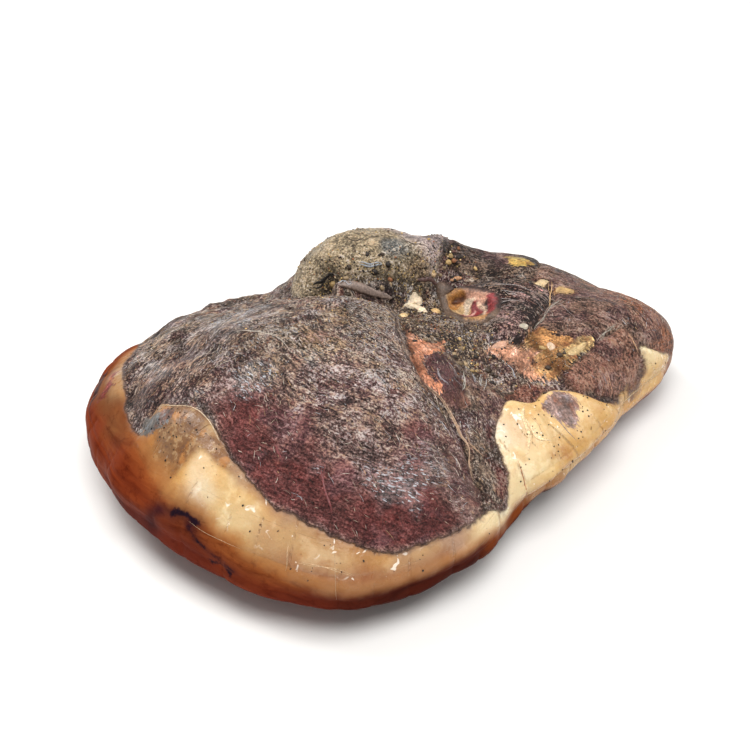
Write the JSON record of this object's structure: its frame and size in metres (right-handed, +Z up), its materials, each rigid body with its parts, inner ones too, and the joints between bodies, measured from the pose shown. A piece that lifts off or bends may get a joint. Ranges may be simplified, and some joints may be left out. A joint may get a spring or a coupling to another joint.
{
  "type": "speck ham",
  "caption": "Whole boned speck ham lying cut side up: dark dried lean with muscle seams and spice, a band of pale fat and a brown smoked rind with net marks.",
  "frame": {"origin": "middle of the ham's box on the surface it lies on", "axes": "+X along the ham from the broad butt end towards the shank tip, +Z up through the cut face"},
  "size_m": [0.3568, 0.2656, 0.1051],
  "materials": {
    "cured_lean": "dry dark maroon lean with a grey-tan bloom and moist glints",
    "fat": "waxy cream-yellow fat with a soft gloss",
    "smoked_rind": "orange-brown smoked skin with a satin gloss",
    "pepper": "matte cracked black pepper",
    "spice": "matte tan and yellow spice flakes"
  },
  "bodies": {
    "root": {"speck_ham": "cured_lean"}
  },
  "joints": []
}
